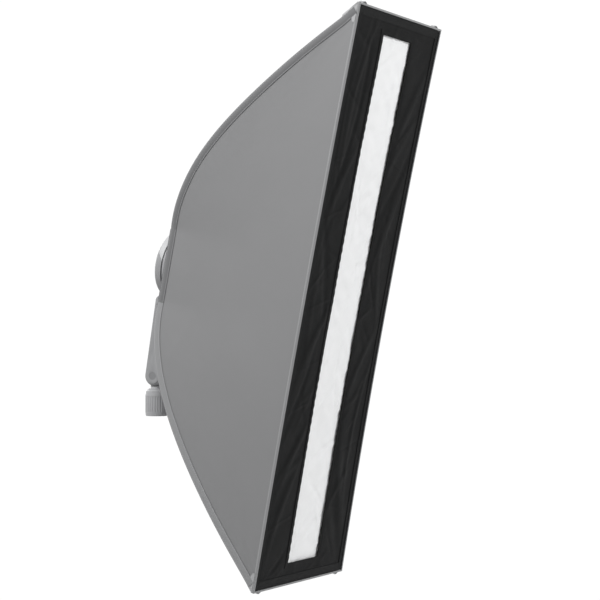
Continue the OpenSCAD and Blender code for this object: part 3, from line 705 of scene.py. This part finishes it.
def rod_tape(side, end):
    """Tape sewn along the seam, over the rod's sleeve."""
    side_name, (end_name, body) = SIDES[side], ENDS[end]

    def surface(across, t):
        p = seam(t, end)
        q = seam(t + 0.004, end) - seam(t - 0.004, end)
        inward = unit(np.stack([-q[..., 2], q[..., 1]], -1)) * (across + 0.6)[..., None]
        y, z = p[..., 1] + inward[..., 0], p[..., 2] + inward[..., 1]
        return raised(side_surface(side)(y, end * z), side, across)

    # the upper seams' tape gets the copy with painted shade, and the lower seams' tape gets the copy with
    # painted light
    material = look["tape_painted_shade" if end > 0 else "tape_painted_light"]
    t = np.linspace(0.0, 0.985, 90)
    tape = cloth(f"rod_tape_{side_name}_{end_name}", surface, TAPE, t, material, body, thick=0.7)
    tape_stitching(f"tape_stitching_{side_name}_{end_name}", surface, np.linspace(0.03, 0.97, 60), side, body)


def seam_welt(side, end):
    """Rolled seam where the side panel meets the top or bottom panel."""
    name, body = f"seam_welt_{SIDES[side]}_{ENDS[end][0]}", ENDS[end][1]
    edge = (seam(np.linspace(0.0, 0.985, 80), end) - np.array([0.9, 0.4, 0.4])) * np.array([side, 1, end])
    welt = sweep(name, edge, round_profile(1.3, 10), look["panel"], body, up=[0, 1, 0.3])


def end_panel(end, panel_name):
    end_name, body = ENDS[end]
    across, t = np.linspace(-0.985, 0.985, 61), np.linspace(0.0, 1.0, 81)
    panel = cloth(f"{panel_name}_cloth", end_surface(end), across, t, look["panel"], body)
    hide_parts(panel_name)


for side in SIDES:
    side_gusset(side)
    for end in ENDS:
        side_cloths(side, end)
        rod_tape(side, end)
        seam_welt(side, end)
end_panel(1, "top_panel")
end_panel(-1, "bottom_panel")

# ---------- rear panel round the ring ----------

REAR_HOLE = 43.6  # radius of the opening that the speed ring fills
REAR_W, REAR_L = 53.4, 60.0  # half the rear panel
NOTCH_W, NOTCH_R = 8.8, 48.6  # half width of the notches for the release buttons, and where they end


def rear_surface(share, angle):
    cx, cz = np.cos(angle), np.sin(angle)
    outer = np.minimum(REAR_W / np.maximum(np.abs(cx), 1e-6), REAR_L / np.maximum(np.abs(cz), 1e-6))
    outer = np.where((np.abs(cx * outer) < NOTCH_W) & (np.abs(cz) > 0.5), NOTCH_R, outer)
    radius = REAR_HOLE + (outer - REAR_HOLE) * share
    slack = 0.35 * np.sin(angle * 22 + 1.5 * np.sin(angle * 3)) * np.sin(math.pi * np.clip(share, 0, 1))
    return np.stack([radius * cx, 311.2 + 0.9 * share + slack, radius * cz], -1)


def rear_panel():
    shares, angles = np.linspace(0, 1, 9), np.linspace(0, 2 * math.pi, 145)
    rear = cloth("rear_panel_cloth", rear_surface, shares, angles, look["panel"], "speed_ring")
    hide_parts("rear_panel")


def rear_piping():
    corners = [(54, -57), (54, 57), (50, 61), (-50, 61), (-54, 57), (-54, -57), (-50, -61), (50, -61)]
    outline = []
    for (x0, z0), (x1, z1) in zip(corners, corners[1:] + corners[:1]):
        outline += [(x0 + (x1 - x0) * k / 8, 312.6, z0 + (z1 - z0) * k / 8) for k in range(8)]
    profile, material = round_profile(1.5, 10), look["tape_painted_shade"]
    piping = sweep("rear_piping", outline, profile, material, "speed_ring", up=[0, 1, 0], closed=True)


def hub_tape(side):
    """The seam tape goes on past the ring."""
    side_name = SIDES[side]

    def surface(across, z):
        return raised(side_surface(side)(312.4 - across, z), side, across)

    z = np.linspace(-ROOT[2], ROOT[2], 30)
    tape = cloth(f"hub_tape_{side_name}", surface, TAPE, z, look["tape_painted_shade"], "speed_ring", thick=0.7)
    tape_stitching(f"hub_stitching_{side_name}", surface, np.linspace(-60, 60, 40), side, "speed_ring")


rear_panel()
rear_piping()
for side in SIDES:
    hub_tape(side)

# ---------- front edge, mask and diffusers ----------

# the lips' sections, as (outward, backward) from the front edge
SIDE_LIP = [
    (-2.2, 0.1), (-0.1, 0.0), (0.6, 0.6), (0.75, 3.9), (0.45, 4.3), (0.1, 4.0), (0.0, 1.3), (-2.2, 1.2)
]
END_LIP = [(-2.2, 0.1), (0.1, 0.0), (0.7, 0.6), (0.7, 3.6), (0.3, 4.0), (0.0, 1.3), (-2.2, 1.2)]


def lip_tape(name, path, profile, outward, along, flip, body):
    """Tape folded over a front edge."""
    profile = np.array(profile)
    points = path[:, None] + profile[:, :1] * np.array(outward) + profile[:, 1:] * np.array([0, 1, 0])
    faces = tube_faces(len(profile), len(path))
    if flip:
        faces = [face[::-1] for face in faces]
    lip = finish_piece(name, points.reshape(-1, 3), faces, tube_uv(profile, along), look["lip"], body)
    return lip


def side_lip(side, end):
    side_name, (end_name, body) = SIDES[side], ENDS[end]
    rows = np.linspace(0, 449.4, 90)
    z = end * rows
    path = np.stack([side * front_x(z), front_y(z), z], -1)
    name = f"front_lip_{side_name}_{end_name}"
    lip = lip_tape(name, path, SIDE_LIP, [side, 0, 0], rows, side * end > 0, body)
    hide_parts(f"side_binding_{side_name}")
    squash_to_tip(lip)
    row = path + np.array([side * 0.66, 3.0, 0])
    name = f"lip_stitching_{side_name}_{end_name}"
    thread = stitches(name, row, [side, 0, 0], look["thread_grey"], body, thick=0.22)
    squash_to_tip(thread)


def end_lip(end, binding):
    end_name, body = ENDS[end]
    x = np.linspace(-149.4, 149.4, 70)
    path = np.stack([x, np.zeros_like(x), np.full_like(x, end * 449.2)], -1)
    lip = lip_tape(f"front_lip_{end_name}", path, END_LIP, [0, 0, end], x - x[0], end < 0, body)
    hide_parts(binding)


def strip(name, surface, x, z, end, lift, material):
    """A narrow hem or border on the mask."""
    piece = cloth(name, surface, x, end * z, material, ENDS[end][1], thick=0.5, lift=lift)
    squash_to_tip(piece)
    return piece


def mask_trims(side, end):
    """The border, the slit's long hem and three rows of stitches on one side of half the mask."""
    tag = f"{SIDES[side]}_{ENDS[end][0]}"
    border, hem = np.sort(side * np.linspace(134.5, 147.4, 6)), np.sort(side * np.linspace(50.2, 58, 5))
    border_z, hem_z = np.linspace(0, 446.4, 180), np.linspace(0, SLIT_L, 230)
    trims = [
        strip(f"mask_border_{tag}", mask_surface, border, border_z, end, 0.55, look["hem"]),
        strip(f"slit_hem_{tag}", scalloped_mask, hem, hem_z, end, 0.5, look["mask"]),
    ]
    for k, (x, length) in enumerate(((136.0, 440), (145.4, 440), (57.6, 412))):
        row = mask_surface(np.full(200, side * x), end * np.linspace(0, length, 200)) - np.array([0, 1.0, 0])
        name, body = f"mask_stitch_{tag}_{k}", ENDS[end][1]
        thread = stitches(name, row, [0, -1, 0], look["thread_black"], body, thick=0.28)
        squash_to_tip(thread)
        trims.append(thread)
    return trims


def strip_mask(end):
    end_name, body = ENDS[end]
    outer = np.linspace(SLIT_W, MASK_W, 44)
    x = np.unique(np.concatenate([-outer[::-1], np.linspace(-SLIT_W, SLIT_W, 41), outer]))
    z = np.unique(np.concatenate([np.linspace(0, SLIT_L, 230), np.linspace(SLIT_L, MASK_L, 22)]))
    mid_x, mid_z = (x[1:] + x[:-1]) / 2, (z[1:] + z[:-1]) / 2
    slit = (np.abs(mid_x)[None] < SLIT_W) & (mid_z[:, None] < SLIT_L)
    name = f"strip_mask_{end_name}"
    mask = cloth(name, scalloped_mask, x, end * z, look["mask"], body, thick=0.5, keep=~slit)
    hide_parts("strip_mask")
    squash_to_tip(mask)
    trims = mask_trims(-1, end) + mask_trims(1, end)
    x, z = np.linspace(-147.2, 147.2, 90), np.linspace(433.5, 446.4, 6)
    trims.append(strip(f"mask_end_hem_{end_name}", mask_surface, x, z, end, 0.6, look["hem"]))
    x, z = np.linspace(-59, 59, 40), np.linspace(414.2, 422, 5)
    trims.append(strip(f"slit_end_hem_{end_name}", mask_surface, x, z, end, 0.5, look["mask"]))


def diffuser(end):
    end_name, body = ENDS[end]
    x, z = np.linspace(-136, 136, 110), end * np.linspace(0, 429, 190)
    white = cloth(f"front_diffuser_{end_name}", diffuser_surface, x, z, look["white"], body, thick=0.5)
    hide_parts("front_diffuser")
    squash_to_tip(white)


def baffle(end):
    """The inner diffuser and its elastic straps."""
    end_name, body = ENDS[end]
    x, z = np.linspace(-84.5, 84.5, 40), end * np.linspace(0, 219, 50)
    white = cloth(f"inner_baffle_{end_name}", baffle_surface, x, z, look["white"], body, thick=0.5)
    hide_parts("inner_baffle")
    squash_to_tip(white)
    x = np.linspace(80, 109.8, 12)
    for side, side_name in SIDES.items():
        path = np.stack([side * x, 150.5 + 2 * np.sin((x - 80) / 10), 0 * x + end * 212], -1)
        name = f"baffle_straps_{side_name}_{end_name}"
        strap = sweep(name, path, flat_profile(5), look["strap"], body, up=[0, 1, 0])
        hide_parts("baffle_straps")


for side in SIDES:
    for end in ENDS:
        side_lip(side, end)
end_lip(1, "top_binding")
end_lip(-1, "bottom_binding")
for end in ENDS:
    strip_mask(end)
    diffuser(end)
    baffle(end)

# ---------- rods, sleeves, corner pockets ----------

ROD_MID = MIDDLE - np.array([8.0, 6.0, 4.0])
ROD_END = TIP + np.array([-9.0, 4.0, -11.0])
ROD_WAY = unit(ROD_MID - HINGE)
ROD_BEND = HINGE + 34 * ROD_WAY  # a rod leaves its ferrule here
TIP_WAY = unit(ROD_END - ROD_MID)
POUCH_BACK, POUCH_FRONT, POUCH_R = -24.0, 3.6, 6.2  # its ends along the rod, from the tip, and its radius


def rod_line(t, end):
    return pulled(bezier(t, ROD_BEND, ROD_MID, ROD_END), t, end)


def rod_and_sleeve(side, end):
    side_name, (end_name, body) = SIDES[side], ENDS[end]
    mirror = np.array([side, 1, end])
    line = np.concatenate([[HINGE + 10 * ROD_WAY], rod_line(np.linspace(0, 1, 40), end)]) * mirror
    rod = sweep(f"rod_{side_name}_{end_name}", line, round_profile(2.6, 16), look["rod"], body, up=[1, 0, 0])
    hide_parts(f"rod_{end_name}_{side_name}")
    line = rod_line(np.linspace(0.1, 0.95, 70), end) * mirror
    name = f"rod_sleeve_{side_name}_{end_name}"
    sleeve = sweep(name, line, round_profile(3.7, 16), look["panel"], body, up=[1, 0, 0])
    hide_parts(f"rod_sleeves_{end_name}")


def corner_pocket(side, end):
    """A pouch of webbing over the rod's tip, closed towards the corner."""
    end_name, body = ENDS[end]
    mirror = np.array([side, 1, end])
    way = TIP_WAY * mirror
    centre = (ROD_END + np.array([2.2, 1.5, 1.0])) * mirror
    side_way = unit(np.cross(way, [0, 0, 1.0]))
    high = np.cross(side_way, way)
    along = np.linspace(POUCH_BACK, POUCH_FRONT, 26)
    share = (along - POUCH_BACK) / (POUCH_FRONT - POUCH_BACK)
    size = POUCH_R * (1 - np.clip(share, 0, 1) ** 7) ** 0.5 * (0.86 + 0.14 * np.sin(math.pi * share)) + 0.15
    ring = round_profile(1, 20)
    offsets = side_way * ring[:, :1] + high * 0.9 * ring[:, 1:]
    points = centre + way * along[:, None, None] + size[:, None, None] * offsets
    uv = np.stack(np.meshgrid(np.arange(20) * 2.0, along), -1).reshape(-1, 2) / 1000
    name = f"corner_pocket_{SIDES[side]}_{end_name}"
    pouch = finish_piece(name, points.reshape(-1, 3), tube_faces(20, 26), uv, look["pocket"], body)
    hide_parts(f"corner_pockets_{end_name}")


def pocket_ear(side, end):
    """The pocket's ear, sewn on the side panel at the corner. It narrows away from the corner."""
    side_name, (end_name, body) = SIDES[side], ENDS[end]

    def surface(across, along):
        z = 449.4 - 30 * along
        y = LIP + 0.4 + (19.5 - 15 * along) * across * np.clip(0.35 + 4 * along, 0, 1)
        return side_surface(side)(np.minimum(y, seam_at(z)[1] + 2.5), end * z)

    name, grid = f"pocket_ear_{side_name}_{end_name}", (np.linspace(0, 1, 12), np.linspace(0, 1, 16))
    ear = cloth(name, surface, *grid, look["pocket"], body, thick=0.9, lift=0.8)


def pull_tab(side, end):
    k = np.linspace(0, 4, 14)
    path = np.stack([side * (139 - 4 * k), 0 * k + 5.5, end * (449.6 + 3.2 * np.sin(math.pi * k / 4))], -1)
    name, body = f"pull_tab_{SIDES[side]}_{ENDS[end][0]}", ENDS[end][1]
    tab = sweep(name, path, flat_profile(3.5), look["pocket"], body, up=[0, 0, end])


for side in SIDES:
    for end in ENDS:
        rod_and_sleeve(side, end)
        corner_pocket(side, end)
        pocket_ear(side, end)
        pull_tab(side, end)

# ---------- button springs ----------

COIL_TURNS, COIL_R, WIRE_R = 5.5, 1.6, 0.3
COIL_FOOT, COIL_RISE = 35.75, 9.0  # its inner end, from the box's axis, and its length


def button_coils(end):
    end_name = ENDS[end][0]
    angle = np.linspace(0, COIL_TURNS * 2 * math.pi, 110)
    z = end * (COIL_FOOT + COIL_RISE * angle / angle[-1])
    wires = []
    for x in (-18.0, 18.0):
        helix = np.stack([x + COIL_R * np.cos(angle), HINGE[1] + COIL_R * np.sin(angle), z], -1)
        name = f"coil_{end_name}_{len(wires)}"
        wires.append(sweep(name, helix, round_profile(WIRE_R, 6), look["steel"], "speed_ring", up=[0, 0, 1]))
    coil = merge(f"button_coils_{end_name}", wires)
    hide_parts(f"button_springs_{end_name}")
    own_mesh(coil)


for end in ENDS:
    button_coils(end)

# ---------- hardware ----------

# ring_cover_upper gets the light plastic as a painted highlight and ring_cover_lower gets the dark plastic as
# painted shade. They are the two covers of one hub.
FINISH = {
    "plastic_light": [
        "ring_cover_upper", "release_button_upper", "release_button_lower", "thrust_washer",
        "friction_washers", "stand_socket",
    ],
    "plastic_mid": ["rotor_ring", "clamp_collar"],
    "plastic_dark": [
        "ring_cover_lower", "bracket_ring", "arm_shell_left", "arm_shell_right", "retaining_ring",
        "hinge_ring",
    ],
    "plastic_black": ["tilt_knob", "collet_sleeve", "rod_tips_upper", "rod_tips_lower"],
    "coated": ["tilt_axle"],
    "steel": [
        "snap_ring", "wedge_ring", "cover_screws", "arm_screws", "retaining_screws", "hinge_ring_screws",
        "hinge_pins", "rod_ferrules_upper", "rod_ferrules_lower",
    ],
    "magnet": ["magnets"],
    "brass": ["knob_insert"],
    "felt": ["friction_ring"],
}
ROUNDED = {
    "ring_cover_upper": 1.2, "ring_cover_lower": 1.2, "rotor_ring": 0.8, "clamp_collar": 0.45,
    "arm_shell_left": 3.0, "arm_shell_right": 3.0, "stand_socket": 0.5, "tilt_knob": 0.8,
    "release_button_upper": 0.5, "release_button_lower": 0.5, "hinge_ring": 0.4, "retaining_ring": 0.4,
    "bracket_ring": 0.4,
}


def cleaned_mesh(source):
    """A CAD node's mesh with its doubled points joined and its flat faces made whole."""
    mesh = source.data.copy()
    mesh.materials.clear()
    work = bmesh.new()
    work.from_mesh(mesh)
    bmesh.ops.remove_doubles(work, verts=work.verts, dist=2e-6)
    bmesh.ops.dissolve_limit(work, angle_limit=math.radians(1.2), verts=work.verts, edges=work.edges)
    work.to_mesh(mesh)
    work.free()
    return mesh


def rounded_copy(node, radius):
    """A copy of a CAD node with its edges rounded, which stands for it."""
    source = frame["nodes"][node]
    piece = bpy.data.objects.new(node + "_shell", cleaned_mesh(source))
    bpy.context.scene.collection.objects.link(piece)
    bevel = piece.modifiers.new("edges", "BEVEL")
    bevel.width = radius / 1000
    bevel.segments = 3
    bevel.limit_method = "ANGLE"
    bevel.angle_limit = math.radians(28)
    bevel.use_clamp_overlap = True
    normals = piece.modifiers.new("normals", "WEIGHTED_NORMAL")
    normals.keep_sharp = True
    graph = bpy.context.evaluated_depsgraph_get()
    rounded = bpy.data.meshes.new_from_object(piece.evaluated_get(graph))
    piece.modifiers.clear()
    piece.data = rounded
    rounded.name = piece.name
    rounded.polygons.foreach_set("use_smooth", [True] * len(rounded.polygons))
    rounded.set_sharp_from_angle(angle=math.radians(42))
    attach(piece, source["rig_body"])
    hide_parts(node)
    return piece


for finish, nodes in FINISH.items():
    for node in nodes:
        shown = rounded_copy(node, ROUNDED[node]) if node in ROUNDED else frame["nodes"][node]
        shown.data.materials.clear()
        shown.data.materials.append(look[finish])

# ---------- floor, lights, camera ----------

scene = bpy.context.scene
scene.view_settings.view_transform = "Standard"


def studio():
    """White surroundings, half as bright on the box's left and front as behind it."""
    world = bpy.data.worlds.new("studio")
    world.use_nodes = True
    sky = world.node_tree
    background = sky.nodes["Background"]
    background.inputs["Strength"].default_value = 1.03
    direction = sky.nodes.new("ShaderNodeTexCoord")
    facing = sky.nodes.new("ShaderNodeVectorMath")
    facing.operation = "DOT_PRODUCT"
    facing.inputs[1].default_value = (0.5, 0.87, 0)
    fade = sky.nodes.new("ShaderNodeMapRange")
    for key, value in {"From Min": 0.1, "From Max": 0.65, "To Min": 0.5, "To Max": 1.0}.items():
        fade.inputs[key].default_value = value
    sky.links.new(direction.outputs["Generated"], facing.inputs[0])
    sky.links.new(facing.outputs["Value"], fade.inputs["Value"])
    sky.links.new(fade.outputs["Result"], background.inputs["Color"])
    return world


def paper_floor(radius=3.0, height=-0.85, corners=96):
    mesh = bpy.data.meshes.new("floor")
    angles = np.linspace(0, 2 * math.pi, corners + 1)[:-1]
    rim = [(radius * math.cos(a), radius * math.sin(a), height) for a in angles]
    mesh.from_pydata(rim, [], [range(corners)])
    floor = bpy.data.objects.new("floor", mesh)
    scene.collection.objects.link(floor)
    paper = Nodes("paper_floor", Roughness=0.9, Specular_IOR_Level=0.1)
    shades = paper.noise(paper.add("TexCoord").outputs["Object"], 3.0, 3.0)
    paper.set("Base Color", paper.ramp(shades, (0.62, 0.62, 0.62), (0.66, 0.66, 0.66)))
    mesh.materials.append(paper.material)


def area_light(name, at, towards, size, watts):
    light = bpy.data.lights.new(name, "AREA")
    light.shape = "DISK"
    light.size = size
    light.energy = watts
    lamp = bpy.data.objects.new(name, light)
    lamp.location = at
    lamp.rotation_euler = (Vector(towards) - Vector(at)).to_track_quat("-Z", "Y").to_euler()
    scene.collection.objects.link(lamp)


scene.world = studio()
paper_floor()
middle = (0.0, -0.2, 0.2)
area_light("key_upper_left", (-1.25, 0.25, 1.65), (-0.1, -0.1, 0.45), 1.0, 34)
area_light("front_right", (0.9, -3.0, 1.6), middle, 1.0, 54)
area_light("rear_fill", (1.5, 2.6, 1.4), middle, 1.6, 22)

# about 3 m away, almost level, and 62 degrees round to the left of straight on
camera_data = bpy.data.cameras.new("camera")
camera_data.lens = 114.73
camera_data.sensor_width = 36
camera = bpy.data.objects.new("camera", camera_data)
camera.location = (-2.68048, -1.66744, 0.14914)
camera.rotation_euler = Vector((0.88615, 0.46321, 0.01321)).to_track_quat("-Z", "Y").to_euler()
scene.collection.objects.link(camera)
scene.camera = camera
